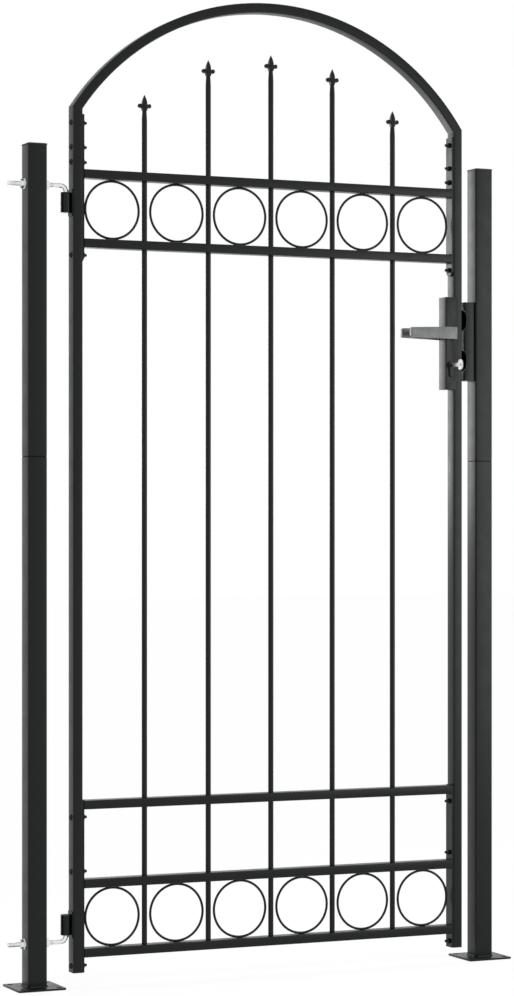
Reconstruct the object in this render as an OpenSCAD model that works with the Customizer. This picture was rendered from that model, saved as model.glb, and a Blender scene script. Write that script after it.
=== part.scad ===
// Arched fence gate with spear-topped bars, two posts, hook hinges and a lever lock.
// Origin: middle of the left base plate's underside. X runs to the right post, Y away from the front.

/* [Posts] */
// Distance between the posts' centres
post_pitch = 1010; // [900:1:1300]
// Width of the square post tube
post_w = 40; // [36:1:60]
// Wall of the post tube
post_wall = 2; // [1.5:0.1:3]
// Outer corner radius of the post tube
post_corner = 3; // [2.5:0.1:6]
// Distance of the post tube's top below the arch's outer corner
post_drop = 83; // [40:1:160]
// Height of the joint between the lower and the upper tube
post_joint = 1060; // [500:1:1200]
// Height of the shadow groove at the joint
joint_groove_h = 2; // [0.5:0.1:3]
// Depth of the shadow groove at the joint
joint_groove_d = 0.8; // [0.2:0.1:1]

/* [Base plates] */
// Side of the square base plate
plate_w = 100; // [90:1:160]
// Thickness of the base plate
plate_t = 4; // [3:0.5:8]
// Corner radius of the base plate
plate_corner = 4; // [1:0.5:10]
// Diameter of the ground bolts' holes
plate_hole_d = 11; // [8:0.5:13]
// Distance of the holes' centres from the plate's edges
hole_edge = 12; // [10:0.5:25]

/* [Post caps] */
// Overhang of the cap over the tube
cap_overhang = 1; // [0.5:0.1:3]
// Height of the cap's rim
cap_rim_h = 2; // [1:0.5:6]
// Height of the cap's raised middle
cap_crown_h = 1; // [0.5:0.5:4]
// Step between the rim and the raised middle
cap_step = 2.5; // [1:0.1:5]
// Depth of the plug inside the tube
cap_plug_h = 16; // [8:1:30]
// Gap between a plug and its tube
plug_fit = 0.2; // [0.1:0.05:0.5]

/* [Leaf] */
// Width of the leaf over its stiles
leaf_w = 882; // [780:1:884]
// Gap between the left post and the leaf
hinge_gap = 57.7; // [54:0.1:62]
// Height of the leaf's lower end above the ground
leaf_floor = 26; // [15:1:35]
// Height of the arch's crown
leaf_top = 2000; // [1600:1:2400]
// Height of the arch above the outer corners where it meets the stiles
arch_rise = 236; // [180:1:320]
// Width of the stile tube, across the leaf
stile_w = 20; // [18:0.5:25]
// Depth of the stile tube, through the leaf
stile_d = 30; // [28:1:40]
// Wall of the leaf's tubes
leaf_wall = 1.5; // [1.2:0.1:2.5]
// Outer corner radius of the leaf's tubes
leaf_corner = 2.5; // [2:0.1:4]
// Thickness of the plug's head under the stile
stile_plug_t = 2; // [1:0.5:4]
// Depth of the plug inside the stile
stile_plug_h = 18; // [10:1:30]

/* [Rails and strips] */
// Distance of the highest rail's top below the arch's outer corner
top_rail_drop = 126.6; // [100:0.1:160]
// Height of the middle rail's top above the fourth rail's top
middle_rail_rise = 158.2; // [100:0.1:300]
// Height of the lowest rail's top above the leaf's lower end
bottom_rail_rise = 47.8; // [30:0.1:100]
// Height of a rail
rail_h = 18; // [16:0.5:22]
// Depth of a rail, through the leaf
rail_d = 30; // [28:1:40]
// Thickness of the strips that carry the rails
strip_t = 4; // [3:0.5:6]
// Width of the strips
strip_w = 26; // [24:0.5:28]
// Distance of the upper strips' tops below the arch's inner corner
strip_clear = 10.5; // [5:0.5:40]
// Length of the upper strips below the second rail
strip_below = 28; // [20:1:60]

/* [Bars and rings] */
// Number of bars
bar_count = 5; // [5:1:5]
// Diameter of a bar
bar_d = 11; // [9:0.5:13]
// Distance of the outer bars' tips below the crown
outer_tip_drop = 204; // [180:0.1:300]
// Distance of the tips beside the middle one below the crown
second_tip_drop = 124.4; // [100:0.1:250]
// Distance of the middle bar's tip below the crown
middle_tip_drop = 105; // [80:0.1:200]
// Gap between a ring and the bars beside it
ring_bar_gap = 4.65; // [2:0.05:15]
// Gap between an end ring and its strip
ring_end_gap = 4.15; // [2:0.05:15]
// Diameter of the rings' wire
ring_wire_d = 5; // [4:0.25:7]
// Gap between a ring and the rails that it is welded to
ring_fit = 0.1; // [0.05:0.05:0.3]
// Gap around a bar in a rail's hole
bar_fit = 0.15; // [0.1:0.05:0.4]

/* [Spear heads] */
// Height of a spear head above its bar
spear_h = 51; // [45:1:60]
// Width over the two side lobes
spear_w = 29; // [24:0.5:34]
// Thickness at the middle ridge
spear_t = 10; // [8:0.5:13]
// Thickness at the lobes' outer edges
spear_edge_t = 4; // [3:0.5:6]
// Diameter of the neck under the flare
spear_neck_d = 9; // [6:0.5:10]
// Height of the neck, from the bar to the flare
spear_neck_h = 17.5; // [10:0.5:18]

/* [Hinges] */
// Diameter of the hook's rod and pin
rod_d = 10; // [8:0.5:11]
// Distance of the upper rod's axis below the post tube's top
upper_rod_drop = 78; // [50:1:150]
// Height of the lower rod's axis above the leaf's lower end
lower_rod_rise = 63; // [45:1:120]
// Length of the rod beyond the post's far face
rod_tail = 36; // [20:1:50]
// Radius of the rod's bend, at its axis
rod_bend = 11; // [9:0.5:14]
// Outer diameter of the barrel
barrel_d = 20; // [18:0.5:22]
// Length of the barrel
barrel_l = 41; // [30:1:50]
// Gap between the rod's bend and the barrel
barrel_clear = 2; // [1:0.5:10]
// Distance from the pin's end to the far end of the barrel
pin_short = 3; // [1:0.5:10]
// Gap between the pin and the barrel's bore
pin_fit = 0.2; // [0.1:0.05:0.4]
// Gap around the rod in the post's holes
rod_fit = 0.3; // [0.1:0.05:0.6]
// Thickness of the pad between the barrel and the stile
pad_t = 2.2; // [1.5:0.1:3]
// Depth of the pad, through the leaf
pad_d = 22; // [16:1:26]
// Length of the pad beyond each end of the barrel
pad_over = 6; // [2:0.5:8]
// How far the barrel is let into its pad
barrel_sink = 0.6; // [0.3:0.1:1.5]
// Across the flats of the hooks' nuts
nut_af = 16; // [14:0.5:18]
// Height of a nut with its flange
nut_h = 10; // [8:0.5:12]
// Diameter of a nut's flange
nut_flange_d = 21; // [19:0.5:24]
// Thickness of a nut's flange
nut_flange_t = 2; // [1.5:0.25:3]
// Gap between a nut and its rod
nut_fit = 0.1; // [0.05:0.05:0.3]

/* [Lock] */
// Width of the lock case, across the leaf
case_w = 28; // [24:0.5:32]
// How far the lock case stands proud of the stile, at the front and at the back
case_proud = 1; // [0.5:0.5:5]
// Distance of the lock case's lower end below the upper strips' lower ends
case_drop = 241; // [230:0.5:400]
// Height of the lock case
case_h = 196; // [180:1:220]
// How far the case is let into the stile
case_inset = 8; // [4:0.5:12]
// Corner radius of the lock case
case_corner = 2; // [1:0.25:4]
// Distance of the lever's and the cylinder's axes from the case's inner face
backset = 13.5; // [12:0.5:14]
// Height of the lever's axis above the lock case's lower end
lever_rise = 119.5; // [105:0.5:130]
// Distance from the lever's axis down to the cylinder's axis
cylinder_drop = 68.5; // [60:0.5:80]

/* [Levers] */
// Length of a lever from its axis to its tip
lever_l = 100; // [80:1:102]
// Length of a lever behind its axis
lever_back = 9; // [8:0.5:12]
// Height of a lever at its axis
lever_h = 26; // [20:0.5:30]
// Height of a lever at its tip
lever_tip_h = 20; // [12:0.5:24]
// Corner radius of a lever's tip
lever_tip_r = 4; // [1:0.5:6]
// Thickness of a lever
lever_t = 9; // [9:0.5:14]
// Gap between a lever and the lock case
lever_gap = 1; // [0.5:0.25:3]
// Side of the square spindle
spindle_w = 8; // [6:0.5:9]
// Wall of a lever in front of its socket
lever_skin = 2; // [1.5:0.25:5]
// Gap between the spindle and its socket
socket_fit = 0.1; // [0.05:0.05:0.3]
// Gap around the spindle's corners in the case's bore
spindle_fit = 0.5; // [0.3:0.1:1]

/* [Cylinder and key] */
// Diameter of the profile cylinder's round part
cyl_d = 17; // [15:0.5:18]
// Width of the profile cylinder's lower part
cyl_w = 10; // [8:0.5:11]
// Whole height of the profile cylinder
cyl_h = 33; // [28:0.5:36]
// How far the cylinder stands out of the case, at each side
cyl_out = 3; // [1:0.5:6]
// Gap between the cylinder and the case
cyl_fit = 0.15; // [0.1:0.05:0.3]
// Diameter of the plug that the key turns
plug_d = 12.5; // [11:0.5:13.5]
// Length of the plug
plug_l = 16; // [12:1:18]
// Gap between the plug and the cylinder
core_fit = 0.15; // [0.1:0.05:0.25]
// Thickness of the key
key_t = 2.2; // [1.8:0.1:3]
// Height of the key's blade
key_blade_h = 8; // [6:0.5:9]
// Length of the blade outside the cylinder
key_blade_l = 28; // [10:0.5:30]
// Length of the plug behind the blade
plug_end = 2; // [1:0.5:6]
// Depth of the key's bow, along the cylinder
key_bow_d = 19; // [18:0.5:30]
// Height of the key's bow
key_bow_h = 22; // [18:0.5:28]
// Corner radius of the key's bow
key_bow_r = 7; // [3:0.5:8]
// Diameter of the hole in the bow
key_hole_d = 6; // [4:0.5:8]
// Gap around the blade in the plug's slot
key_fit = 0.1; // [0.05:0.05:0.3]

/* [Bolts and strike box] */
// Height of the latch tongue's middle above the lever's axis
latch_rise = 28.5; // [20:0.5:40]
// Height of the latch tongue
latch_h = 30; // [20:1:34]
// Height of the dead bolt's middle above the cylinder's axis
bolt_rise = 11; // [0:0.5:20]
// Height of the dead bolt
bolt_h = 30; // [20:1:34]
// Thickness of the tongue and the bolt
bolt_t = 11; // [8:0.5:14]
// How far the drawn-back tongue and bolt stand out of the stile
bolt_out = 1; // [0.5:0.1:1.5]
// Gap around the tongue and the bolt in the stile's slots
bolt_fit = 0.4; // [0.2:0.1:1]
// Gap between the stile and the strike box
strike_gap = 6.7; // [6.5:0.1:8]
// Depth of the strike box, through the leaf
strike_d = 30; // [26:1:38]
// Height of the strike box below its lower slot
strike_below = 21; // [10:1:50]
// Height of the strike box above its upper slot
strike_above = 17; // [10:1:50]
// Wall of the strike box
strike_wall = 1.5; // [1.2:0.1:3]
// Corner radius of the strike box
strike_corner = 2; // [1.8:0.1:5]
// Height of the strike box's two slots
slot_h = 43; // [36:1:46]
// Width of the strike box's two slots
slot_w = 16; // [14:0.5:20]
// Depth of the round notches that open the slots toward the front
notch_d = 5; // [2:0.5:8]

/* [Hidden] */
$fn = 48;
// Overrun of every cut past the face that it opens
cut = 1;
// Straight pieces in a rounded corner
corner_steps = 4;
// Straight pieces in a half circle
half_steps = 10;

coat = [0.09, 0.095, 0.09];
zinc = [0.75, 0.76, 0.77];
lever_grey = [0.42, 0.43, 0.43];
plastic = [0.05, 0.05, 0.05];

plate_hole_pitch = plate_w - 2 * hole_edge;

leaf_left = post_w / 2 + hinge_gap;
leaf_right = leaf_left + leaf_w;
leaf_mid = (leaf_left + leaf_right) / 2;
left_stile_x = leaf_left + stile_w / 2;
right_stile_x = leaf_right - stile_w / 2;
inner_left = leaf_left + stile_w;
inner_right = leaf_right - stile_w;

// The arch is a circle through both outer corners and the crown
knuckle_z = leaf_top - arch_rise;
arch_r = (pow(leaf_w / 2, 2) + pow(arch_rise, 2)) / (2 * arch_rise);
arch_z = leaf_top - arch_r;
// Turn between the stile and the arch at the corner, halved by the mitre
knuckle_turn = acos(leaf_w / 2 / arch_r);
mitre = knuckle_turn / 2;

rail_left = inner_left + strip_t;
rail_l = inner_right - strip_t - rail_left;
// A row of rings, with a bar between each two, fills the rails' length
bar_pitch = (rail_l + bar_d + 2 * ring_bar_gap - 2 * ring_end_gap) / (bar_count + 1);
ring_d = bar_pitch - bar_d - 2 * ring_bar_gap;
// Step from a rail's top to the next one's, with the rings between them
ring_step = rail_h + ring_d + 2 * ring_fit;
top_rail_z = knuckle_z - top_rail_drop;
bottom_rail_z = leaf_floor + bottom_rail_rise;
fourth_rail_z = bottom_rail_z + ring_step;
// Tops of the five rails, from the highest down
rail_tops = [top_rail_z, top_rail_z - ring_step, fourth_rail_z + middle_rail_rise,
    fourth_rail_z, bottom_rail_z];
strip_top = knuckle_z - stile_w * tan(mitre) - strip_clear;
strip_low = rail_tops[1] - rail_h - strip_below;

outer_tip = leaf_top - outer_tip_drop;
second_tip = leaf_top - second_tip_drop;
// Heights of the spear tips, from the left bar to the right one
tip_heights = [outer_tip, second_tip, leaf_top - middle_tip_drop, second_tip, outer_tip];

post_top = knuckle_z - post_drop;
upper_rod_z = post_top - upper_rod_drop;
lower_rod_z = leaf_floor + lower_rod_rise;
barrel_drop = rod_bend + barrel_clear;

hinge_x = leaf_left - pad_t - barrel_d / 2 + barrel_sink;
pad_x = leaf_left - pad_t;
pin_l = barrel_drop - rod_bend + barrel_l - pin_short;

case_x = inner_right + case_inset - case_w;
case_d = stile_d + 2 * case_proud;
case_z = strip_low - case_drop;
lock_x = case_x + backset;
lever_z = case_z + lever_rise;
cylinder_z = lever_z - cylinder_drop;
spindle_bore_d = spindle_w * sqrt(2) + 2 * spindle_fit;
lever_y = case_d / 2 + lever_gap;
socket_d = lever_t - lever_skin;
cylinder_y = case_d / 2 + cyl_out;
key_in_l = plug_l - plug_end;

latch_z = lever_z + latch_rise;
bolt_z = cylinder_z + bolt_rise;
strike_x = leaf_right + strike_gap;
// The strike box fills what is left up to the right post
strike_w = post_pitch - post_w / 2 - strike_x;
strike_z = bolt_z - slot_h / 2 - strike_below;
strike_h = latch_z + slot_h / 2 + strike_above - strike_z;
// A notch's circle meets the strike box's face at its slot's ends
notch_r = (pow(slot_h / 2, 2) + pow(notch_d, 2)) / (2 * notch_d);

function bar_x(i) = leaf_mid + (i - (bar_count - 1) / 2) * bar_pitch;
function ring_x(i) = leaf_mid + (i - bar_count / 2) * bar_pitch;

// Points of an arc about a centre, from one angle to another
function arc(centre, r, from, to, steps) =
    [for (i = [0:steps]) let (a = from + (to - from) * i / steps) centre + r * [cos(a), sin(a)]];

// Rectangle about zero with round corners
function round_rect(w, d, r) = concat(
    arc([w / 2 - r, d / 2 - r], r, 0, 90, corner_steps),
    arc([r - w / 2, d / 2 - r], r, 90, 180, corner_steps),
    arc([r - w / 2, r - d / 2], r, 180, 270, corner_steps),
    arc([w / 2 - r, r - d / 2], r, 270, 360, corner_steps));

// Profile cylinder outline: a round head over a narrower stem with a round foot
function profile(fit) =
    let (
        r = cyl_d / 2 + fit,
        foot = cyl_w / 2 + fit,
        side = asin(foot / r),
        low = cyl_d / 2 - cyl_h + cyl_w / 2)
    concat(
        arc([0, 0], r, side - 90, 270 - side, 2 * half_steps),
        arc([0, low], foot, 180, 360, half_steps));

// Half of a spear head's front outline from the neck up, as shares of half its width and of its height
lobe_r_share = 0.31;
lobe_z_share = 0.553;
flare_shares = [[0.3, 0.36], [0.35, 0.42]];
blade_shares = [[0.32, 0.615], [0.34, 0.66], [0.305, 0.75], [0.2, 0.865]];

module tube_outline(w, d, r, wall) {
    difference() {
        polygon(round_rect(w, d, r));
        polygon(round_rect(w - 2 * wall, d - 2 * wall, r - wall));
    }
}

module solid_bar(w, d, r, h) {
    linear_extrude(h) polygon(round_rect(w, d, r));
}

// Cylinder along X from one place to another
module rod_x(d, from, to) {
    translate([from, 0, 0]) rotate([0, 90, 0]) cylinder(d = d, h = to - from);
}

// Outline in X and Z, drawn through the leaf from y to y + d
module through_leaf(y, d) {
    translate([0, y + d, 0]) rotate([90, 0, 0]) linear_extrude(d) children();
}

module post_tube(from, to, groove_low, groove_high) {
    difference() {
        translate([0, 0, from])
            linear_extrude(to - from) tube_outline(post_w, post_w, post_corner, post_wall);
        if (groove_low) joint_groove(from - joint_groove_h / 2);
        if (groove_high) joint_groove(to - joint_groove_h / 2);
    }
}

module joint_groove(z) {
    core_w = post_w - 2 * joint_groove_d;
    translate([0, 0, z]) linear_extrude(joint_groove_h) difference() {
        square(post_w + 2 * cut, center = true);
        polygon(round_rect(core_w, core_w, post_corner - joint_groove_d));
    }
}

module post_lower() {
    post_tube(plate_t, post_joint, false, true);
}

module post_upper() {
    post_tube(post_joint, post_top, true, false);
}

module base_plate() {
    difference() {
        solid_bar(plate_w, plate_w, plate_corner, plate_t);
        for (sx = [-1, 1], sy = [-1, 1])
            translate([sx * plate_hole_pitch / 2, sy * plate_hole_pitch / 2, -cut])
                cylinder(d = plate_hole_d, h = plate_t + 2 * cut);
    }
}

module post_cap() {
    rim_w = post_w + 2 * cap_overhang;
    crown_w = rim_w - 2 * cap_step;
    plug_w = post_w - 2 * post_wall - 2 * plug_fit;
    translate([0, 0, post_top]) {
        solid_bar(rim_w, rim_w, post_corner + cap_overhang, cap_rim_h);
        translate([0, 0, cap_rim_h]) solid_bar(crown_w, crown_w, post_corner, cap_crown_h);
        translate([0, 0, -cap_plug_h]) solid_bar(plug_w, plug_w, post_corner - post_wall, cap_plug_h);
    }
}

// Hook bolt: straight rod through the post, bend and pin that points down
module hinge_hook() {
    rod_x(rod_d, -post_w / 2 - rod_tail, hinge_x - rod_bend);
    translate([hinge_x - rod_bend, 0, -rod_bend]) rotate([90, 0, 0])
        rotate_extrude(angle = 90) translate([rod_bend, 0]) circle(d = rod_d);
    translate([hinge_x, 0, -rod_bend - pin_l]) cylinder(d = rod_d, h = pin_l);
}

module hinge_nut() {
    difference() {
        union() {
            rotate([0, 90, 0]) cylinder(d = nut_flange_d, h = nut_flange_t);
            rotate([0, 90, 0]) cylinder(d = nut_af / cos(30), h = nut_h, $fn = 6);
        }
        rod_x(rod_d + 2 * nut_fit, -cut, nut_h + cut);
    }
}

module hinge_nuts() {
    translate([post_w / 2, 0, 0]) hinge_nut();
    mirror([1, 0, 0]) translate([post_w / 2, 0, 0]) hinge_nut();
}

// Barrel under a rod at height zero, on the pad that is welded to the stile
module hinge_barrel() {
    difference() {
        union() {
            translate([hinge_x, 0, -barrel_drop - barrel_l]) cylinder(d = barrel_d, h = barrel_l);
            translate([pad_x, -pad_d / 2, -barrel_drop - barrel_l - pad_over])
                cube([pad_t, pad_d, barrel_l + 2 * pad_over]);
        }
        translate([hinge_x, 0, -barrel_drop - barrel_l - cut])
            cylinder(d = rod_d + 2 * pin_fit, h = barrel_l + 2 * cut);
    }
}

module upper_hinge() {
    translate([0, 0, upper_rod_z]) children();
}

module lower_hinge() {
    translate([0, 0, lower_rod_z]) mirror([0, 0, 1]) children();
}

module rod_hole() {
    rod_x(rod_d + 2 * rod_fit, -post_w / 2 - cut, post_w / 2 + cut);
}

// Region under the arch's mitre planes, to the outer corners' height
module above_mitre() {
    reach = arch_r + stile_w;
    dip = leaf_w / 2 * tan(mitre);
    through_leaf(-stile_d, 2 * stile_d)
        polygon([
            [leaf_left - stile_w, knuckle_z + stile_w * tan(mitre)],
            [leaf_mid, knuckle_z - dip],
            [leaf_right + stile_w, knuckle_z + stile_w * tan(mitre)],
            [leaf_right + stile_w, arch_z + reach],
            [leaf_left - stile_w, arch_z + reach]]);
}

module stile_tube(x) {
    difference() {
        translate([x, 0, leaf_floor + stile_plug_t])
            linear_extrude(knuckle_z + stile_w - leaf_floor - stile_plug_t)
                tube_outline(stile_w, stile_d, leaf_corner, leaf_wall);
        above_mitre();
    }
}

module lock_notch() {
    translate([inner_right - cut, -stile_d, case_z]) cube([case_inset + cut, 2 * stile_d, case_h]);
}

module bolt_block(z, h, fit, from, to) {
    translate([from, -bolt_t / 2 - fit, z - h / 2 - fit]) cube([to - from, bolt_t + 2 * fit, h + 2 * fit]);
}

module lock_bolt_pair(fit, from, to) {
    bolt_block(latch_z, latch_h, fit, from, to);
    bolt_block(bolt_z, bolt_h, fit, from, to);
}

module stile_plug(x) {
    translate([x, 0, leaf_floor]) {
        solid_bar(stile_w, stile_d, leaf_corner, stile_plug_t);
        translate([0, 0, stile_plug_t])
            solid_bar(stile_w - 2 * leaf_wall - 2 * plug_fit, stile_d - 2 * leaf_wall - 2 * plug_fit,
                leaf_corner - leaf_wall, stile_plug_h);
    }
}

// Flat strip beside a stile; its lower end is square or round
module strip(x, from, to, round_end) {
    low = round_end ? from + strip_w / 2 : from;
    foot = round_end
        ? arc([0, low], strip_w / 2, 180, 360, half_steps)
        : [[-strip_w / 2, low], [strip_w / 2, low]];
    translate([x, 0, 0]) rotate([90, 0, 90])
        linear_extrude(strip_t) polygon(concat(foot, [[strip_w / 2, to], [-strip_w / 2, to]]));
}

module upper_strip(x) {
    strip(x, strip_low, strip_top, true);
}

module lower_strip(x) {
    strip(x, leaf_floor, rail_tops[2], false);
}

module rail(i, drilled) {
    difference() {
        translate([rail_left, 0, rail_tops[i] - rail_h / 2]) rotate([90, 0, 90])
            linear_extrude(rail_l) tube_outline(rail_d, rail_h, leaf_corner, leaf_wall);
        if (drilled)
            for (b = [0:bar_count - 1])
                translate([bar_x(b), 0, rail_tops[i] - rail_h - cut])
                    cylinder(d = bar_d + 2 * bar_fit, h = rail_h + 2 * cut);
    }
}

module bar(i) {
    low = rail_tops[len(rail_tops) - 1];
    translate([bar_x(i), 0, low]) cylinder(d = bar_d, h = tip_heights[i] - spear_h - low);
}

module ring_row(low) {
    for (i = [0:bar_count])
        translate([ring_x(i), 0, low + ring_fit + ring_d / 2]) rotate([90, 0, 0])
            rotate_extrude() translate([(ring_d - ring_wire_d) / 2, 0]) circle(d = ring_wire_d);
}

// Right half of the head's front outline, from the flare's foot round the lobe to the tip
function spear_half() =
    let (
        r = lobe_r_share * spear_w / 2,
        lobe = [spear_w / 2 - r, lobe_z_share * spear_h],
        flare = [for (share = flare_shares) [share[0] * spear_w / 2, share[1] * spear_h]],
        blade = [for (share = blade_shares) [share[0] * spear_w / 2, share[1] * spear_h]])
    concat(flare, arc(lobe, r, -130, 130, half_steps), blade, [[0, spear_h]]);

function mirrored(points) = [for (i = [len(points) - 2:-1:0]) [-points[i][0], points[i][1]]];

// Spear head on its neck: front outline, cut to a ridge along the middle and thinned to the tip
module spear_head() {
    half = spear_half();
    lobe_z = lobe_z_share * spear_h;
    intersection() {
        through_leaf(-spear_t, 2 * spear_t) polygon(concat(half, mirrored(half)));
        linear_extrude(spear_h) polygon([
            [spear_w / 2, spear_edge_t / 2], [0, spear_t / 2], [-spear_w / 2, spear_edge_t / 2],
            [-spear_w / 2, -spear_edge_t / 2], [0, -spear_t / 2], [spear_w / 2, -spear_edge_t / 2]]);
        translate([-spear_w, 0, 0]) rotate([90, 0, 90]) linear_extrude(2 * spear_w) polygon([
            [spear_neck_d / 2, 0], [spear_t / 2, lobe_z], [spear_edge_t / 4, spear_h],
            [-spear_edge_t / 4, spear_h], [-spear_t / 2, lobe_z], [-spear_neck_d / 2, 0]]);
    }
    cylinder(d1 = bar_d, d2 = spear_neck_d, h = spear_neck_h);
    translate([0, 0, spear_neck_h])
        cylinder(d1 = spear_neck_d, d2 = spear_edge_t, h = lobe_z - spear_neck_h);
}

// Lever outline from behind the axis to the tip, axis at zero, tip toward -X
function lever_outline() =
    let (r = lever_tip_r, high = lever_tip_h / 2 - r)
    concat(
        [[lever_back, -lever_h / 2], [lever_back, lever_h / 2], [-lever_back, lever_h / 2]],
        arc([r - lever_l, high], r, 90, 180, corner_steps),
        arc([r - lever_l, -high], r, 180, 270, corner_steps),
        [[-lever_back, -lever_h / 2]]);

module lever() {
    translate([lock_x, 0, lever_z]) difference() {
        through_leaf(-lever_y - lever_t, lever_t) polygon(lever_outline());
        through_leaf(-lever_y - socket_d, socket_d + cut)
            square(spindle_w + 2 * socket_fit, center = true);
    }
}

module left_post_lower() {
    color(coat) difference() {
        post_lower();
        lower_hinge() rod_hole();
    }
}

module left_post_upper() {
    color(coat) difference() {
        post_upper();
        upper_hinge() rod_hole();
    }
}

module right_post_lower() {
    color(coat) translate([post_pitch, 0, 0]) post_lower();
}

module right_post_upper() {
    color(coat) translate([post_pitch, 0, 0]) post_upper();
}

module left_post_cap() {
    color(plastic) post_cap();
}

module right_post_cap() {
    color(plastic) translate([post_pitch, 0, 0]) post_cap();
}

module left_base_plate() {
    color(coat) base_plate();
}

module right_base_plate() {
    color(coat) translate([post_pitch, 0, 0]) base_plate();
}

module upper_hinge_hook() {
    color(zinc) upper_hinge() hinge_hook();
}

module lower_hinge_hook() {
    color(zinc) lower_hinge() hinge_hook();
}

module upper_hinge_nuts() {
    color(zinc) upper_hinge() hinge_nuts();
}

module lower_hinge_nuts() {
    color(zinc) lower_hinge() hinge_nuts();
}

module strike_box() {
    inner_r = strike_corner - strike_wall;
    color(coat) difference() {
        translate([strike_x + strike_w / 2, 0, strike_z])
            solid_bar(strike_w, strike_d, strike_corner, strike_h);
        translate([strike_x + strike_w / 2 + strike_wall, 0, strike_z + strike_wall])
            solid_bar(strike_w, strike_d - 2 * strike_wall, inner_r, strike_h - 2 * strike_wall);
        for (z = [latch_z, bolt_z])
            translate([strike_x - cut, -slot_w / 2, z - slot_h / 2])
                cube([strike_wall + 2 * cut, slot_w, slot_h]);
        for (z = [latch_z, bolt_z])
            translate([strike_x + notch_d - notch_r, 0, z]) rotate([90, 0, 0])
                cylinder(r = notch_r, h = strike_d);
    }
}

module left_stile() {
    color(coat) stile_tube(left_stile_x);
}

module right_stile() {
    color(coat) difference() {
        stile_tube(right_stile_x);
        lock_notch();
        lock_bolt_pair(bolt_fit, inner_right + stile_w / 2, leaf_right + cut);
    }
}

module stile_plugs() {
    color(plastic) for (x = [left_stile_x, right_stile_x]) stile_plug(x);
}

module arch() {
    color(coat) intersection() {
        translate([leaf_mid, 0, arch_z]) rotate([90, 0, 0])
            rotate_extrude($fn = 180) translate([arch_r - stile_w / 2, 0])
                tube_outline(stile_w, stile_d, leaf_corner, leaf_wall);
        above_mitre();
    }
}

module left_upper_strip() {
    color(coat) upper_strip(inner_left);
}

module right_upper_strip() {
    color(coat) upper_strip(inner_right - strip_t);
}

module left_lower_strip() {
    color(coat) lower_strip(inner_left);
}

module right_lower_strip() {
    color(coat) lower_strip(inner_right - strip_t);
}

module top_rail() {
    color(coat) rail(0, true);
}

module second_rail() {
    color(coat) rail(1, true);
}

module middle_rail() {
    color(coat) rail(2, true);
}

module fourth_rail() {
    color(coat) rail(3, true);
}

module bottom_rail() {
    color(coat) rail(4, false);
}

module bar_1() {
    color(coat) bar(0);
}

module bar_2() {
    color(coat) bar(1);
}

module bar_3() {
    color(coat) bar(2);
}

module bar_4() {
    color(coat) bar(3);
}

module bar_5() {
    color(coat) bar(4);
}

module spear_heads() {
    color(coat) for (i = [0:bar_count - 1])
        translate([bar_x(i), 0, tip_heights[i] - spear_h]) spear_head();
}

module upper_rings() {
    color(coat) ring_row(rail_tops[1]);
}

module lower_rings() {
    color(coat) ring_row(rail_tops[4]);
}

module upper_hinge_barrel() {
    color(coat) upper_hinge() hinge_barrel();
}

module lower_hinge_barrel() {
    color(coat) lower_hinge() hinge_barrel();
}

module lock_case() {
    color(coat) difference() {
        translate([case_x + case_w / 2, 0, case_z]) solid_bar(case_w, case_d, case_corner, case_h);
        translate([lock_x, case_d, lever_z]) rotate([90, 0, 0]) cylinder(d = spindle_bore_d, h = 2 * case_d);
        translate([lock_x, 0, cylinder_z]) through_leaf(-case_d, 2 * case_d) polygon(profile(cyl_fit));
    }
}

module lock_cylinder() {
    slot_deep = plug_end + cut;
    color(plastic) difference() {
        translate([lock_x, 0, cylinder_z]) through_leaf(-cylinder_y, 2 * cylinder_y) polygon(profile(0));
        translate([lock_x, plug_l - cylinder_y, cylinder_z]) rotate([90, 0, 0])
            cylinder(d = plug_d + 2 * core_fit, h = plug_l + cut);
        translate([lock_x - key_t / 2, cylinder_y - slot_deep, cylinder_z - key_blade_h / 2])
            cube([key_t, slot_deep + cut, key_blade_h]);
    }
}

module lock_bolts() {
    color(zinc) lock_bolt_pair(0, inner_right + case_inset, leaf_right + bolt_out);
}

module front_lever() {
    color(lever_grey) lever();
}

module back_lever() {
    color(lever_grey) mirror([0, 1, 0]) lever();
}

module handle_spindle() {
    reach = lever_y + socket_d;
    color(zinc) translate([lock_x - spindle_w / 2, -reach, lever_z - spindle_w / 2])
        cube([spindle_w, 2 * reach, spindle_w]);
}

module key_plug() {
    color(zinc) translate([lock_x, 0, cylinder_z]) difference() {
        translate([0, plug_l - cylinder_y, 0]) rotate([90, 0, 0]) cylinder(d = plug_d, h = plug_l);
        translate([-key_t / 2 - key_fit, -cylinder_y - cut, -key_blade_h / 2 - key_fit])
            cube([key_t + 2 * key_fit, key_in_l + cut, key_blade_h + 2 * key_fit]);
    }
}

module key() {
    bow_y = -cylinder_y - key_blade_l - key_bow_d / 2;
    color(zinc) translate([lock_x - key_t / 2, 0, cylinder_z]) {
        difference() {
            translate([0, bow_y, 0]) rotate([90, 0, 90])
                linear_extrude(key_t) polygon(round_rect(key_bow_d, key_bow_h, key_bow_r));
            translate([-cut, bow_y - key_bow_d / 2 + key_bow_r, 0]) rotate([0, 90, 0])
                cylinder(d = key_hole_d, h = key_t + 2 * cut);
        }
        translate([0, bow_y + key_bow_d / 2, -key_blade_h / 2])
            cube([key_t, key_blade_l + key_in_l, key_blade_h]);
    }
}

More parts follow.
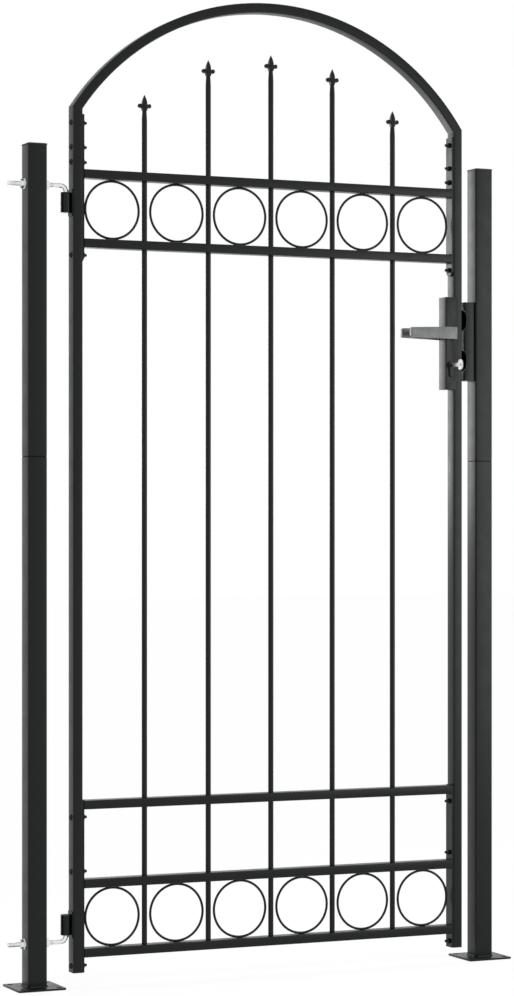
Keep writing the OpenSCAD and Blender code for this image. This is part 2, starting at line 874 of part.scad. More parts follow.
left_post_lower();
left_post_upper();
right_post_lower();
right_post_upper();
left_post_cap();
right_post_cap();
left_base_plate();
right_base_plate();
upper_hinge_hook();
lower_hinge_hook();
upper_hinge_nuts();
lower_hinge_nuts();
strike_box();
left_stile();
right_stile();
stile_plugs();
arch();
left_upper_strip();
right_upper_strip();
left_lower_strip();
right_lower_strip();
top_rail();
second_rail();
middle_rail();
fourth_rail();
bottom_rail();
bar_1();
bar_2();
bar_3();
bar_4();
bar_5();
spear_heads();
upper_rings();
lower_rings();
upper_hinge_barrel();
lower_hinge_barrel();
lock_case();
lock_cylinder();
lock_bolts();
front_lever();
back_lever();
handle_spindle();
key_plug();
key();
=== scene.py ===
"""Looks of the arched fence gate: coat, zinc and alloy finishes, fasteners, threads and weld beads."""

import math

import bpy
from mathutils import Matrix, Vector


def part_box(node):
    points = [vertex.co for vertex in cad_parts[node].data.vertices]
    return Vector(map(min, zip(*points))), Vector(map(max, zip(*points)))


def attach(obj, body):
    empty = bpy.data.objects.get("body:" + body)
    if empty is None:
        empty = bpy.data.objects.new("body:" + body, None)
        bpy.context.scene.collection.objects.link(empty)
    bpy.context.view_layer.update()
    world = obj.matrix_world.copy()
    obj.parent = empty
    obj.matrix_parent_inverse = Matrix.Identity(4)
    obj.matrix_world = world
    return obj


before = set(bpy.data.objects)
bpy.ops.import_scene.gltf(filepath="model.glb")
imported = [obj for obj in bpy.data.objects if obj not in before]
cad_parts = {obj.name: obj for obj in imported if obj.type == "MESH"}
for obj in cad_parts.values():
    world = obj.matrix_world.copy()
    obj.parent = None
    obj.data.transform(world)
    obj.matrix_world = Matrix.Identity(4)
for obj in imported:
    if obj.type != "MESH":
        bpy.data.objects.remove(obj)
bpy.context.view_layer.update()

MM = 0.001

# Camera, fitted to the photograph's 514 x 996 frame
IMAGE_SIZE = (514, 996)
HORIZON_PIXEL = 528.24
CAMERA_PLACE = Vector((-1.978, -5.4425, 0.917))
CAMERA_AIM = Vector((0.41263, 0.9109, 0))
LENS = 104.63
SENSOR = 36

# Strip bolts: hexagon nut and bolt end inside, round head outside
NUT_FLATS = 10 * MM
NUT_HEIGHT = 5 * MM
BOLT_RADIUS = 3 * MM
BOLT_END = 4.6 * MM
BOLT_PITCH = 1 * MM
HEAD_RADIUS = 6.2 * MM
HEAD_HEIGHT = 3.4 * MM
SOCKET_RADIUS = 2.3 * MM
SOCKET_DEPTH = 2 * MM
# Places along the strips: below the upper end, above the lower end, above and below a rail
UPPER_BOLT_DROPS = (16.4 * MM, 65.4 * MM, 95.4 * MM)
UPPER_END_RISE = 13 * MM
LOWER_TOP_DROP = 34 * MM
LOWER_MIDDLE_RISE = 15.3 * MM
LOWER_END_RISE = 13 * MM

# Hook bolts' rolled thread
THREAD_PITCH = 1.5 * MM
THREAD_HEIGHT = 0.3 * MM
THREAD_STEPS = 24
TAIL_THREAD_GAP = 1.2 * MM
INNER_THREAD_LENGTH = 9 * MM

# Weld beads
FOOT_BEAD = 3 * MM
PAD_BEAD = 2.2 * MM
RIPPLE_STEP = 2.4 * MM
TACK_LENGTH = 11 * MM
TACK_HEIGHT = 2.2 * MM
RAIL_BEAD = 1.6 * MM
BAR_TACK = 1.5 * MM
BAR_TACK_LENGTH = 6 * MM
RIPPLE_SHARE = 0.75
BEAD_GRID_SHARE = 0.2

# Dark ring at the bottom of the posts' joint groove: painted shade that darkens the groove
SEAM_HEIGHT = 1.8 * MM
GROOVE_DEPTH = 0.8 * MM
SEAM_PROUD = 0.05 * MM
SEAM_WALL = 0.5 * MM
GROOVE_CORNER = 2.2 * MM

# Lever collar
COLLAR_RADIUS = 11 * MM
COLLAR_LIP = 0.8 * MM
COLLAR_SIDES = 40

# Shading of the CAD nodes
MERGE_DISTANCE = 0.002 * MM
EDGE_SEGMENTS = 3
EDGE_ANGLE = math.radians(40)
CREASE_ANGLE = math.radians(32)

# Studio: light of the white world, pale floor, and lamps as place, aim, size and power in watts
WORLD_LIGHT = (0.55, 0.55, 0.55, 1)
WHITE = (1, 1, 1, 1)
FLOOR_SIZE = 60
FLOOR_DROP = 0.4 * MM
FLOOR_BASE = (0.2, 0.2, 0.2, 1)
FLOOR_WHITE = 0.88
LAMPS = {
    "back_lamp": ((0.4, 1.3, 1.45), (0.99, 0, 1.4), (0.5, 1), 7.4),
    "front_lamp": ((2, -1.5, 1.15), (1, 0, 1.15), (1, 1.6), 12),
}

QUARTER = math.radians(90)


# Blender handling

def clear_selection():
    """Leaves edit mode and deselects everything."""
    if bpy.context.object and bpy.context.object.mode != "OBJECT":
        bpy.ops.object.mode_set(mode="OBJECT")
    bpy.ops.object.select_all(action="DESELECT")


def take(*pieces):
    """Selects these pieces only; the first one is active."""
    clear_selection()
    for piece in pieces:
        piece.select_set(True)
    bpy.context.view_layer.objects.active = pieces[0]


def settle(piece, place=(0, 0, 0), turn=(0, 0, 0)):
    """Moves and turns a piece, and keeps its place in its mesh."""
    piece.location = place
    piece.rotation_euler = turn
    take(piece)
    bpy.ops.object.transform_apply(location=True, rotation=True, scale=True)
    return piece


def join(name, pieces):
    """Joins pieces to one, under a name."""
    take(*pieces)
    bpy.ops.object.join()
    piece = bpy.context.object
    piece.name = name
    piece.data.name = name
    return piece


def outward(piece):
    """Merges doubled points and points every face outward."""
    take(piece)
    bpy.ops.object.mode_set(mode="EDIT")
    bpy.ops.mesh.select_all(action="SELECT")
    bpy.ops.mesh.remove_doubles(threshold=0.001 * MM)
    bpy.ops.mesh.normals_make_consistent(inside=False)
    bpy.ops.object.mode_set(mode="OBJECT")
    return piece


def copies(piece, name, spots):
    """Joins a copy at each spot, a place and a turn, to one piece; the pattern piece goes."""
    made = []
    for place, turn in spots:
        take(piece)
        bpy.ops.object.duplicate(linked=False)
        made.append(settle(bpy.context.object, place, turn))
    bpy.data.objects.remove(piece)
    return join(name, made)


def turned(name, steps, sides):
    """Solid on the Z axis, drawn up from (radius, height) steps; few sides give a nut, many a round."""
    clear_selection()
    radius, low = steps[0]
    bpy.ops.mesh.primitive_circle_add(vertices=sides, radius=radius, fill_type="NGON", location=(0, 0, low))
    piece = bpy.context.object
    piece.name = name
    settle(piece, piece.location)
    bpy.ops.object.mode_set(mode="EDIT")
    bpy.ops.mesh.select_all(action="SELECT")
    for wide, high in steps[1:]:
        share = wide / radius
        bpy.ops.mesh.extrude_region_move(TRANSFORM_OT_translate={"value": (0, 0, high - low)})
        bpy.ops.transform.resize(value=(share, share, 1), center_override=(0, 0, high))
        radius, low = wide, high
    bpy.ops.object.mode_set(mode="OBJECT")
    return outward(piece)


def apply_modifier(piece, kind, **values):
    """Adds a modifier, sets it and applies it."""
    take(piece)
    modifier = piece.modifiers.new(kind.lower(), kind)
    for key, value in values.items():
        setattr(modifier, key, value)
    bpy.ops.object.modifier_apply(modifier=modifier.name)
    return piece


def dress(piece, finish, body, angle=35):
    """Gives a new piece its finish and shading, and lets it ride on a body."""
    take(piece)
    bpy.ops.object.shade_smooth_by_angle(angle=math.radians(angle))
    piece.data.materials.clear()
    piece.data.materials.append(finish)
    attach(piece, body)
    return piece


# Finishes

class Finish:
    """Node tree of one finish, with short calls for the nodes that it uses."""

    def __init__(self, name):
        self.material = bpy.data.materials.new(name)
        self.material.use_nodes = True
        self.tree = self.material.node_tree
        self.shader = self.tree.nodes["Principled BSDF"]
        self.place = self.add("ShaderNodeTexCoord").outputs["Object"]

    def add(self, kind, **values):
        node = self.tree.nodes.new(kind)
        for key, value in values.items():
            setattr(node, key, value)
        return node

    def link(self, source, target):
        self.tree.links.new(source, target)

    def stretched(self, scale):
        """Object coordinates, stretched along one axis for brushed or drawn metal."""
        mapping = self.add("ShaderNodeMapping")
        mapping.inputs["Scale"].default_value = scale
        self.link(self.place, mapping.inputs["Vector"])
        return mapping.outputs["Vector"]

    def noise(self, scale, detail=2.0, roughness=0.5, place=None):
        node = self.add("ShaderNodeTexNoise")
        node.inputs["Scale"].default_value = scale
        node.inputs["Detail"].default_value = detail
        node.inputs["Roughness"].default_value = roughness
        self.link(place or self.place, node.inputs["Vector"])
        return node.outputs["Fac"]

    def spread(self, value, low, high, to_low, to_high):
        """A value between two bounds, mapped to two others."""
        node = self.add("ShaderNodeMapRange")
        node.inputs["From Min"].default_value = low
        node.inputs["From Max"].default_value = high
        node.inputs["To Min"].default_value = to_low
        node.inputs["To Max"].default_value = to_high
        self.link(value, node.inputs["Value"])
        return node.outputs["Result"]

    def product(self, first, second):
        node = self.add("ShaderNodeMath", operation="MULTIPLY")
        self.link(first, node.inputs[0])
        self.link(second, node.inputs[1])
        return node.outputs[0]

    def blend(self, share, first, second):
        """Mix of two colours; each is a colour or another node's output."""
        node = self.add("ShaderNodeMix", data_type="RGBA")
        self.link(share, node.inputs["Factor"])
        for socket, colour in ((node.inputs[6], first), (node.inputs[7], second)):
            if isinstance(colour, tuple):
                socket.default_value = (*colour, 1)
            else:
                self.link(colour, socket)
        return node.outputs[2]

    def tones(self, value, first, second):
        """Clouds of two tones."""
        return self.blend(self.spread(value, 0.3, 0.7, 0, 1), first, second)

    def patches(self, scale, detail, roughness, low, high):
        """Noise cut to patches of zero and one."""
        return self.spread(self.noise(scale, detail, roughness), low, high, 0, 1)

    def edge_wear_and_highlight(self, colour, tone, radius, patches):
        """Colour with another tone on the outer edges, in patches: wear, and on the black coat also a
        painted highlight.
        """
        return self.blend(self.product(self.edges(radius), patches), colour, tone)

    def edges(self, radius):
        """One along outer edges and corners, zero on flat faces."""
        rounded = self.add("ShaderNodeBevel", samples=4)
        rounded.inputs["Radius"].default_value = radius
        flat = self.add("ShaderNodeNewGeometry")
        same = self.add("ShaderNodeVectorMath", operation="DOT_PRODUCT")
        self.link(rounded.outputs["Normal"], same.inputs[0])
        self.link(flat.outputs["Normal"], same.inputs[1])
        return self.spread(same.outputs["Value"], 0.72, 0.93, 1, 0)

    def bump(self, height, distance, strength):
        node = self.add("ShaderNodeBump")
        node.inputs["Distance"].default_value = distance
        node.inputs["Strength"].default_value = strength
        self.link(height, node.inputs["Height"])
        return node.outputs["Normal"]

    def done(self, colour, roughness, normal):
        self.link(colour, self.shader.inputs["Base Color"])
        self.link(roughness, self.shader.inputs["Roughness"])
        self.link(normal, self.shader.inputs["Normal"])
        return self.material


def black_coat():
    """Satin black powder coat: orange peel, faint clouds, and lighter edges, partly a thin coat worn there
    and partly a painted highlight.
    """
    finish = Finish("black_coat")
    finish.shader.inputs["IOR"].default_value = 1.335
    finish.shader.inputs["Specular Tint"].default_value = (0.94, 1, 0.98, 1)
    clouds = finish.noise(7, 5, 0.6)
    colour = finish.tones(clouds, (0.0022, 0.0028, 0.0026), (0.0045, 0.0056, 0.0052))
    # Lighter tone in patches along the edges: partly wear, partly a painted highlight on the edges.
    scuff_and_highlight_patches = finish.patches(55, 6, 0.7, 0.45, 0.62)
    colour = finish.edge_wear_and_highlight(colour, (0.02, 0.021, 0.02), 0.9 * MM, scuff_and_highlight_patches)
    roughness = finish.spread(finish.noise(34, 4, 0.6), 0.3, 0.7, 0.3, 0.4)
    peel = finish.bump(finish.noise(420, 2, 0.4), 0.12 * MM, 0.15)
    return finish.done(colour, roughness, peel)


def zinc_plate():
    """Bright zinc on drawn steel rod: fine lines along the rod and cloudy spots."""
    finish = Finish("zinc_plate")
    finish.shader.inputs["Metallic"].default_value = 1
    spots = finish.noise(90, 5, 0.6)
    colour = finish.blend(finish.spread(spots, 0.35, 0.65, 0, 1), (0.72, 0.73, 0.75), (0.86, 0.87, 0.88))
    drawn = finish.noise(700, 3, 0.6, finish.stretched((0.06, 1, 1)))
    roughness = finish.spread(spots, 0.3, 0.7, 0.2, 0.36)
    normal = finish.bump(drawn, 0.05 * MM, 0.35)
    return finish.done(colour, roughness, normal)


def key_steel():
    """Nickelled key: stamped flat, with fine scratches from the ring and the plug."""
    finish = Finish("key_steel")
    finish.shader.inputs["Metallic"].default_value = 1
    clouds = finish.noise(140, 4, 0.5)
    colour = finish.tones(clouds, (0.36, 0.36, 0.35), (0.48, 0.48, 0.47))
    scratches = finish.noise(1500, 3, 0.7, finish.stretched((1, 0.05, 1)))
    roughness = finish.spread(scratches, 0.35, 0.65, 0.38, 0.54)
    normal = finish.bump(scratches, 0.03 * MM, 0.3)
    return finish.done(colour, roughness, normal)


def cap_plastic():
    """Matt black moulded plastic with a fine eroded grain."""
    finish = Finish("cap_plastic")
    clouds = finish.noise(18, 3, 0.5)
    colour = finish.tones(clouds, (0.010, 0.010, 0.0105), (0.018, 0.018, 0.018))
    pale = finish.patches(120, 4, 0.6, 0.45, 0.6)
    colour = finish.edge_wear_and_highlight(colour, (0.04, 0.04, 0.04), 0.6 * MM, pale)
    roughness = finish.spread(finish.noise(60, 3, 0.5), 0.3, 0.7, 0.48, 0.62)
    grain = finish.bump(finish.noise(1700, 2, 0.6), 0.12 * MM, 0.4)
    return finish.done(colour, roughness, grain)


def lever_alloy():
    """Cast alloy lever, satin lacquered: brushed along its length, brighter on worn edges."""
    finish = Finish("lever_alloy")
    finish.shader.inputs["Metallic"].default_value = 0.85
    clouds = finish.noise(40, 5, 0.6)
    colour = finish.tones(clouds, (0.1, 0.102, 0.103), (0.132, 0.135, 0.136))
    bright = finish.patches(150, 5, 0.6, 0.4, 0.6)
    colour = finish.edge_wear_and_highlight(colour, (0.18, 0.182, 0.18), 1.2 * MM, bright)
    brushed = finish.noise(900, 3, 0.6, finish.stretched((0.05, 1, 1)))
    roughness = finish.spread(finish.noise(70, 3, 0.5), 0.3, 0.7, 0.34, 0.46)
    normal = finish.bump(brushed, 0.06 * MM, 0.35)
    return finish.done(colour, roughness, normal)


def cylinder_black():
    """Blackened cylinder body, smooth, with turned lines that are just visible."""
    finish = Finish("cylinder_black")
    finish.shader.inputs["IOR"].default_value = 1.3
    clouds = finish.noise(70, 4, 0.5)
    colour = finish.tones(clouds, (0.004, 0.004, 0.004), (0.009, 0.009, 0.0088))
    worn = finish.patches(260, 4, 0.6, 0.4, 0.6)
    colour = finish.edge_wear_and_highlight(colour, (0.04, 0.039, 0.036), 0.5 * MM, worn)
    roughness = finish.spread(clouds, 0.3, 0.7, 0.26, 0.38)
    normal = finish.bump(finish.noise(1200, 2, 0.5), 0.05 * MM, 0.25)
    return finish.done(colour, roughness, normal)


def plug_metal():
    """Blackened brass of the plug, brassy where the key rubs, with fine machining lines."""
    finish = Finish("plug_metal")
    finish.shader.inputs["Metallic"].default_value = 0.6
    clouds = finish.noise(120, 4, 0.5)
    colour = finish.tones(clouds, (0.012, 0.0115, 0.0105), (0.022, 0.0205, 0.018))
    worn = finish.patches(300, 4, 0.6, 0.4, 0.6)
    colour = finish.edge_wear_and_highlight(colour, (0.1, 0.08, 0.046), 0.4 * MM, worn)
    lines = finish.noise(1100, 2, 0.5, finish.stretched((1, 1, 0.08)))
    roughness = finish.spread(clouds, 0.3, 0.7, 0.3, 0.42)
    normal = finish.bump(lines, 0.04 * MM, 0.35)
    return finish.done(colour, roughness, normal)


def painted_shade_seam():
    """Near-black matt finish: painted shade in the gap between two tubes."""
    finish = Finish("painted_shade_seam")
    finish.shader.inputs["Specular IOR Level"].default_value = 0.1
    seam_shade_noise = finish.noise(300, 4, 0.6)
    # Near-black tones that paint the groove's shade
    colour = finish.tones(seam_shade_noise, (0.0006, 0.0006, 0.0006), (0.002, 0.002, 0.002))
    roughness = finish.spread(seam_shade_noise, 0.3, 0.7, 0.7, 0.9)
    return finish.done(colour, roughness, finish.bump(seam_shade_noise, 0.05 * MM, 0.3))


def bolt_black():
    """Blackened steel of the strips' bolts and nuts, oily and worn on the corners."""
    finish = Finish("bolt_black")
    finish.shader.inputs["Metallic"].default_value = 0.35
    clouds = finish.noise(160, 4, 0.6)
    colour = finish.tones(clouds, (0.007, 0.007, 0.007), (0.014, 0.0138, 0.0135))
    worn = finish.patches(420, 4, 0.6, 0.45, 0.6)
    colour = finish.edge_wear_and_highlight(colour, (0.07, 0.068, 0.065), 0.4 * MM, worn)
    roughness = finish.spread(clouds, 0.3, 0.7, 0.4, 0.55)
    normal = finish.bump(finish.noise(900, 3, 0.6), 0.06 * MM, 0.4)
    return finish.done(colour, roughness, normal)


COAT = black_coat()
ZINC = zinc_plate()
KEY_STEEL = key_steel()
PLASTIC = cap_plastic()
ALLOY = lever_alloy()
BLACKENED = cylinder_black()
PLUG_BRASS = plug_metal()
BOLT_BLACK = bolt_black()
# Near-black finish of the rings that paint shade into the posts' joint grooves
PAINTED_SHADE = painted_shade_seam()

NODE_FINISHES = {
    "left_post_cap": PLASTIC, "right_post_cap": PLASTIC, "stile_plugs": PLASTIC,
    "upper_hinge_hook": ZINC, "lower_hinge_hook": ZINC, "upper_hinge_nuts": ZINC, "lower_hinge_nuts": ZINC,
    "lock_bolts": ZINC, "handle_spindle": ZINC, "key": KEY_STEEL,
    "front_lever": ALLOY, "back_lever": ALLOY,
    "lock_cylinder": BLACKENED, "key_plug": PLUG_BRASS,
}

# Rounded edge of the nodes whose edges show, in metres
EDGE_RADII = {
    "left_base_plate": 0.6 * MM, "right_base_plate": 0.6 * MM,
    "left_post_cap": 0.6 * MM, "right_post_cap": 0.6 * MM,
    "lock_case": 0.5 * MM, "strike_box": 0.25 * MM,
    "front_lever": 0.5 * MM, "back_lever": 0.5 * MM, "key": 0.4 * MM,
}


def soft_shading():
    """Modifier tree that shades faces smooth and leaves the node's own mesh as it is."""
    tree = bpy.data.node_groups.new("soft_shading", "GeometryNodeTree")
    tree.interface.new_socket("Geometry", in_out="INPUT", socket_type="NodeSocketGeometry")
    tree.interface.new_socket("Geometry", in_out="OUTPUT", socket_type="NodeSocketGeometry")
    given = tree.nodes.new("NodeGroupInput")
    smooth = tree.nodes.new("GeometryNodeSetShadeSmooth")
    shown = tree.nodes.new("NodeGroupOutput")
    tree.links.new(given.outputs[0], smooth.inputs["Geometry"])
    tree.links.new(smooth.outputs["Geometry"], shown.inputs[0])
    return tree


def finish_nodes():
    """Finish, smooth shading and soft edges of the CAD nodes."""
    shading = soft_shading()
    for name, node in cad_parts.items():
        node.data.materials.clear()
        node.data.materials.append(NODE_FINISHES.get(name, COAT))
        weld = node.modifiers.new("merge", "WELD")
        weld.merge_threshold = MERGE_DISTANCE
        node.modifiers.new("shading", "NODES").node_group = shading
        if name in EDGE_RADII:
            bevel = node.modifiers.new("edges", "BEVEL")
            bevel.width = EDGE_RADII[name]
            bevel.segments = EDGE_SEGMENTS
            bevel.limit_method = "ANGLE"
            bevel.angle_limit = EDGE_ANGLE
        split = node.modifiers.new("creases", "EDGE_SPLIT")
        split.split_angle = CREASE_ANGLE


# Post joints

def painted_shade_rings():
    """Dark ring in each post's groove, where the upper tube stands on the lower one: painted shade that
    darkens the groove.
    """
    for side in ("left", "right"):
        low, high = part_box(side + "_post_lower")
        clear_selection()
        width = high.x - low.x - 2 * GROOVE_DEPTH + 2 * SEAM_PROUD
        place = ((low.x + high.x) / 2, 0, high.z - SEAM_HEIGHT / 2)
        bpy.ops.mesh.primitive_plane_add(size=width, location=place)
        ring = bpy.context.object
        ring.name = side + "_painted_shade_ring"
        settle(ring, ring.location)
        bpy.ops.object.mode_set(mode="EDIT")
        bpy.ops.mesh.select_all(action="SELECT")
        bpy.ops.mesh.bevel(offset=GROOVE_CORNER, segments=4, affect="VERTICES")
        bpy.ops.mesh.inset(thickness=SEAM_WALL)
        bpy.ops.mesh.delete(type="FACE")
        bpy.ops.mesh.select_all(action="SELECT")
        bpy.ops.mesh.extrude_region_move(TRANSFORM_OT_translate={"value": (0, 0, SEAM_HEIGHT)})
        bpy.ops.object.mode_set(mode="OBJECT")
        dress(outward(ring), PAINTED_SHADE, "posts")


# Strip bolts

def strip_nut():
    """Hexagon nut with chamfered corners, and the bolt's threaded end through it."""
    across = NUT_FLATS / math.sqrt(3)
    nut = turned("nut", [(0.9 * across, 0), (across, 0.12 * NUT_HEIGHT), (across, 0.85 * NUT_HEIGHT),
        (0.86 * across, NUT_HEIGHT), (BOLT_RADIUS, NUT_HEIGHT)], 6)
    end = NUT_HEIGHT + BOLT_END
    steps = [(BOLT_RADIUS, 0.5 * NUT_HEIGHT)]
    height = NUT_HEIGHT
    while height < end - BOLT_PITCH:
        steps.append((BOLT_RADIUS, height))
        steps.append((BOLT_RADIUS - 0.35 * BOLT_PITCH, height + 0.5 * BOLT_PITCH))
        height += BOLT_PITCH
    steps.append((BOLT_RADIUS, height))
    steps.append((0.7 * BOLT_RADIUS, end))
    return join("nut", [nut, turned("bolt_end", steps, 20)])


def strip_head():
    """Round bolt head with a hexagon socket."""
    steps = [(HEAD_RADIUS, 0), (HEAD_RADIUS, 0.15 * HEAD_HEIGHT)]
    for angle in range(15, 76, 12):
        turn = math.radians(angle)
        steps.append((HEAD_RADIUS * (0.45 + 0.55 * math.cos(turn)), HEAD_HEIGHT * math.sin(turn)))
    steps.append((0.5 * HEAD_RADIUS, HEAD_HEIGHT))
    head = turned("head", steps, 32)
    hole = [(SOCKET_RADIUS, HEAD_HEIGHT - SOCKET_DEPTH), (SOCKET_RADIUS, 2 * HEAD_HEIGHT)]
    socket = turned("socket", hole, 6)
    apply_modifier(head, "BOOLEAN", object=socket, operation="DIFFERENCE", solver="EXACT")
    bpy.data.objects.remove(socket)
    return head


def strip_bolts():
    """Nuts on the strips' inner faces and heads on the stiles' outer faces, at the same heights."""
    upper_low, upper_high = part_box("left_upper_strip")
    lower_low, lower_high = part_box("left_lower_strip")
    heights = [upper_high.z - drop for drop in UPPER_BOLT_DROPS]
    heights.append(upper_low.z + UPPER_END_RISE)
    heights.append(lower_high.z - LOWER_TOP_DROP)
    heights.append(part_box("fourth_rail")[1].z + LOWER_MIDDLE_RISE)
    heights.append(lower_low.z + LOWER_END_RISE)
    sides = (
        ("left", upper_high.x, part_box("left_stile")[0].x, QUARTER),
        ("right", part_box("right_upper_strip")[0].x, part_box("right_stile")[1].x, -QUARTER))
    for side, inner, outer, turn in sides:
        nut_spots = [((inner, 0, z), (0, turn, 0)) for z in heights]
        nuts = copies(strip_nut(), side + "_strip_nuts", nut_spots)
        dress(nuts, BOLT_BLACK, "leaf")
        head_spots = [((outer, 0, z), (0, -turn, 0)) for z in heights]
        heads = copies(strip_head(), side + "_strip_heads", head_spots)
        dress(heads, BOLT_BLACK, "leaf")


# Hook threads

def thread(radius, length):
    """Rolled thread up the Z axis: a ridge wound round the rod."""
    clear_selection()
    bpy.ops.mesh.primitive_circle_add(vertices=3, radius=THREAD_HEIGHT, fill_type="NOTHING",
        location=(radius, 0, 0), rotation=(QUARTER, 0, 0))
    piece = bpy.context.object
    settle(piece, piece.location, piece.rotation_euler)
    turns = int(length / THREAD_PITCH)
    apply_modifier(piece, "SCREW", screw_offset=THREAD_PITCH, iterations=turns, steps=THREAD_STEPS,
        render_steps=THREAD_STEPS, axis="Z", use_merge_vertices=False)
    bpy.ops.object.mode_set(mode="EDIT")
    bpy.ops.mesh.select_all(action="SELECT")
    bpy.ops.mesh.fill_holes(sides=3)
    bpy.ops.object.mode_set(mode="OBJECT")
    return outward(piece)


def hook_threads():
    """Threads on the hooks' tails and beside their inner nuts."""
    for level in ("upper", "lower"):
        rod_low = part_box(level + "_hinge_hook")[0]
        nuts_low, nuts_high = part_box(level + "_hinge_nuts")
        axis_z = (nuts_low.z + nuts_high.z) / 2
        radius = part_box(level + "_hinge_hook")[1].y
        tail_length = nuts_low.x - rod_low.x - 2 * TAIL_THREAD_GAP
        spans = ((rod_low.x + TAIL_THREAD_GAP, tail_length), (nuts_high.x, INNER_THREAD_LENGTH))
        parts = []
        for start, length in spans:
            parts.append(settle(thread(radius, length), (start, 0, axis_z), (0, QUARTER, 0)))
        dress(join(level + "_hook_threads", parts), ZINC, "posts")


# Weld beads

RAILS = ("top_rail", "second_rail", "middle_rail", "fourth_rail", "bottom_rail")


def bead(name, length, radius):
    """Weld bead along X about the origin: overlapping ripples, melted together."""
    clear_selection()
    count = max(3, round(length / RIPPLE_STEP))
    bpy.ops.mesh.primitive_uv_sphere_add(segments=20, ring_count=12, radius=radius)
    piece = bpy.context.object
    piece.name = name
    piece.scale = (RIPPLE_SHARE, 1, 1)
    settle(piece, (-(count - 1) / 2 * RIPPLE_STEP, 0, 0))
    apply_modifier(piece, "ARRAY", count=count, use_relative_offset=False, use_constant_offset=True,
        constant_offset_displace=(RIPPLE_STEP, 0, 0))
    apply_modifier(piece, "REMESH", mode="VOXEL", voxel_size=BEAD_GRID_SHARE * radius)
    apply_modifier(piece, "SMOOTH", factor=0.5, iterations=3)
    return piece


def foot_beads():
    """Beads round the posts' feet, on their base plates."""
    for side in ("left", "right"):
        low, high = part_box(side + "_post_lower")
        middle = (low + high) / 2
        half = (high.x - low.x) / 2
        run = 2 * half - 2 * FOOT_BEAD
        spots = []
        for turn in (0, QUARTER, 2 * QUARTER, 3 * QUARTER):
            out = Vector((math.sin(turn), -math.cos(turn), 0)) * half
            spots.append(((middle.x + out.x, middle.y + out.y, low.z), (0, 0, turn)))
        beads = copies(bead("foot", run, FOOT_BEAD), side + "_foot_beads", spots)
        dress(beads, COAT, "posts")


def pad_beads():
    """Beads along the hinge pads, on the left stile."""
    for level in ("upper", "lower"):
        low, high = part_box(level + "_hinge_barrel")
        run = high.z - low.z - 2 * PAD_BEAD
        upright = (0, QUARTER, 0)
        spots = [((high.x, y, (low.z + high.z) / 2), upright) for y in (low.y, high.y)]
        beads = copies(bead("pad", run, PAD_BEAD), level + "_pad_beads", spots)
        dress(beads, COAT, "leaf")


def rail_beads():
    """Beads over and under each rail's ends, on the strips that carry it."""
    across = (0, 0, QUARTER)
    spots = []
    for rail in RAILS:
        low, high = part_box(rail)
        spots += [((x, 0, z), across) for x in (low.x, high.x) for z in (low.z, high.z)]
    strip_low, strip_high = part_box("left_upper_strip")
    run = strip_high.y - strip_low.y - 4 * RAIL_BEAD
    dress(copies(bead("rail", run, RAIL_BEAD), "rail_beads", spots), COAT, "leaf")


def bar_tacks():
    """Short tacks behind the bars, under each rail that they pass."""
    spots = []
    for number in range(1, 6):
        low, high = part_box("bar_%d" % number)
        middle = (low.x + high.x) / 2
        spots += [((middle, high.y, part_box(rail)[0].z), (0, 0, 0)) for rail in RAILS[:-1]]
    dress(copies(bead("tack", BAR_TACK_LENGTH, BAR_TACK), "bar_tacks", spots), COAT, "leaf")


def ring_tacks():
    """Tack welds where each ring meets the rails above and under it."""
    bars = [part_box("bar_%d" % number) for number in range(1, 6)]
    centres = [(low.x + high.x) / 2 for low, high in bars]
    pitch = (centres[-1] - centres[0]) / (len(centres) - 1)
    ring_places = [centres[0] - pitch / 2 + number * pitch for number in range(len(centres) + 1)]
    rows = (("upper", "second_rail", "top_rail"), ("lower", "bottom_rail", "fourth_rail"))
    for row, under, above in rows:
        levels = (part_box(under)[1].z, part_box(above)[0].z)
        tack = bead("tack", TACK_LENGTH, TACK_HEIGHT)
        spots = [((x, 0, z), (0, 0, 0)) for x in ring_places for z in levels]
        dress(copies(tack, row + "_ring_tacks", spots), COAT, "leaf")


# Levers

def lever_collars():
    """Turned collar between each lever and the lock case, on the spindle."""
    spindle_low, spindle_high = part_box("handle_spindle")
    axis = (spindle_low + spindle_high) / 2
    case_low, case_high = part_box("lock_case")
    front_gap = case_low.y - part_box("front_lever")[1].y
    thick = 0.8 * front_gap
    steps = [(COLLAR_RADIUS - COLLAR_LIP, 0), (COLLAR_RADIUS, 0.4 * thick), (COLLAR_RADIUS, 0.7 * thick),
        (COLLAR_RADIUS - COLLAR_LIP, thick)]
    spots = [
        ((axis.x, case_low.y - 0.1 * front_gap, axis.z), (QUARTER, 0, 0)),
        ((axis.x, case_high.y + 0.1 * front_gap, axis.z), (-QUARTER, 0, 0))]
    collars = copies(turned("collar", steps, COLLAR_SIDES), "lever_collars", spots)
    dress(collars, ALLOY, "handle")


# Stage

def seen_share(tree, share):
    """A share of white for camera, glossy and transmission rays; zero for the rest."""
    path = tree.nodes.new("ShaderNodeLightPath")
    total = None
    for name in ("Camera", "Glossy", "Transmission"):
        part = tree.nodes.new("ShaderNodeMath")
        part.operation = "MULTIPLY"
        part.inputs[1].default_value = share
        tree.links.new(path.outputs["Is %s Ray" % name], part.inputs[0])
        if total:
            either = tree.nodes.new("ShaderNodeMath")
            either.operation = "MAXIMUM"
            tree.links.new(total, either.inputs[0])
            tree.links.new(part.outputs[0], either.inputs[1])
            part = either
        total = part.outputs[0]
    return total


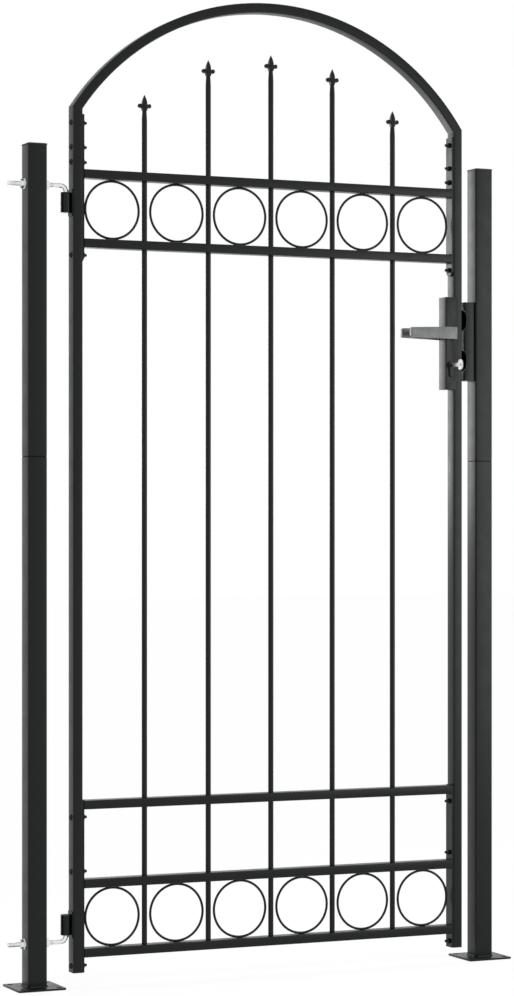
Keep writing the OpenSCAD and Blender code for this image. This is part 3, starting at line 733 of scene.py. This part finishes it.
def white_world():
    """White all round for what the camera and the metal see, and plain light for the rest."""
    world = bpy.data.worlds.new("studio")
    bpy.context.scene.world = world
    world.use_nodes = True
    tree = world.node_tree
    background = tree.nodes["Background"]
    shade = tree.nodes.new("ShaderNodeMix")
    shade.data_type = "RGBA"
    shade.inputs[6].default_value = WORLD_LIGHT
    shade.inputs[7].default_value = WHITE
    tree.links.new(seen_share(tree, 1), shade.inputs["Factor"])
    tree.links.new(shade.outputs[2], background.inputs["Color"])


def floor_white():
    """Pale floor: mostly white of itself, and the rest takes the gate's soft shadow."""
    material = bpy.data.materials.new("floor_white")
    material.use_nodes = True
    tree = material.node_tree
    shader = tree.nodes["Principled BSDF"]
    shader.inputs["Base Color"].default_value = FLOOR_BASE
    shader.inputs["Roughness"].default_value = 0.9
    shader.inputs["Specular IOR Level"].default_value = 0
    shader.inputs["Emission Color"].default_value = WHITE
    tree.links.new(seen_share(tree, FLOOR_WHITE), shader.inputs["Emission Strength"])
    return material


def stage():
    """Floor, camera and two soft lamps."""
    clear_selection()
    bpy.ops.mesh.primitive_plane_add(size=FLOOR_SIZE, location=(0, 0, -FLOOR_DROP))
    floor = bpy.context.object
    floor.name = "floor"
    floor.data.materials.append(floor_white())

    camera = bpy.data.cameras.new("photo_camera")
    camera.lens = LENS
    camera.sensor_width = SENSOR
    camera.shift_y = (HORIZON_PIXEL - IMAGE_SIZE[1] / 2) / max(IMAGE_SIZE)
    holder = bpy.data.objects.new("photo_camera", camera)
    bpy.context.scene.collection.objects.link(holder)
    holder.location = CAMERA_PLACE
    holder.rotation_euler = CAMERA_AIM.to_track_quat("-Z", "Y").to_euler()
    bpy.context.scene.camera = holder

    for name, (place, aim, size, power) in LAMPS.items():
        light = bpy.data.lights.new(name, "AREA")
        light.shape = "RECTANGLE"
        light.size, light.size_y = size
        light.energy = power
        lamp = bpy.data.objects.new(name, light)
        bpy.context.scene.collection.objects.link(lamp)
        lamp.location = place
        lamp.rotation_euler = (Vector(aim) - lamp.location).to_track_quat("-Z", "Y").to_euler()
        lamp.visible_camera = False
    bpy.context.scene.view_settings.view_transform = "Standard"


finish_nodes()
# Dark rings that paint shade into the posts' joint grooves
painted_shade_rings()
strip_bolts()
hook_threads()
foot_beads()
pad_beads()
rail_beads()
bar_tacks()
ring_tacks()
lever_collars()
white_world()
stage()
